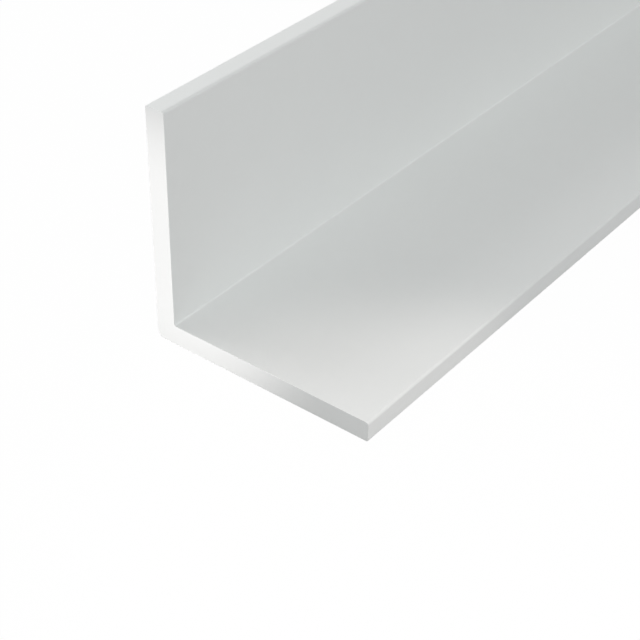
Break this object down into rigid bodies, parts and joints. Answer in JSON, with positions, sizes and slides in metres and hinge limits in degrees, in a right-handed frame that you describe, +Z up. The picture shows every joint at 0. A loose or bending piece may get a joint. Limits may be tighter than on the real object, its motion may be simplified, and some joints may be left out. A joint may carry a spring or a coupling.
{
  "type": "pvc outside corner profile",
  "caption": "White rigid PVC angle with equal legs and a rounded heel, cut square at its ends, bonded over an outside corner to cover and protect it.",
  "frame": {"origin": "middle of the footprint, on the floor under the flat leg", "axes": "+X along the stock away from the cut end that the picture shows, +Y square to the upright leg's outer face, +Z up along the upright leg"},
  "size_m": [1, 0.035, 0.035],
  "materials": {
    "pvc": "satin"
  },
  "bodies": {
    "root": {"corner_profile": "pvc"}
  },
  "joints": []
}
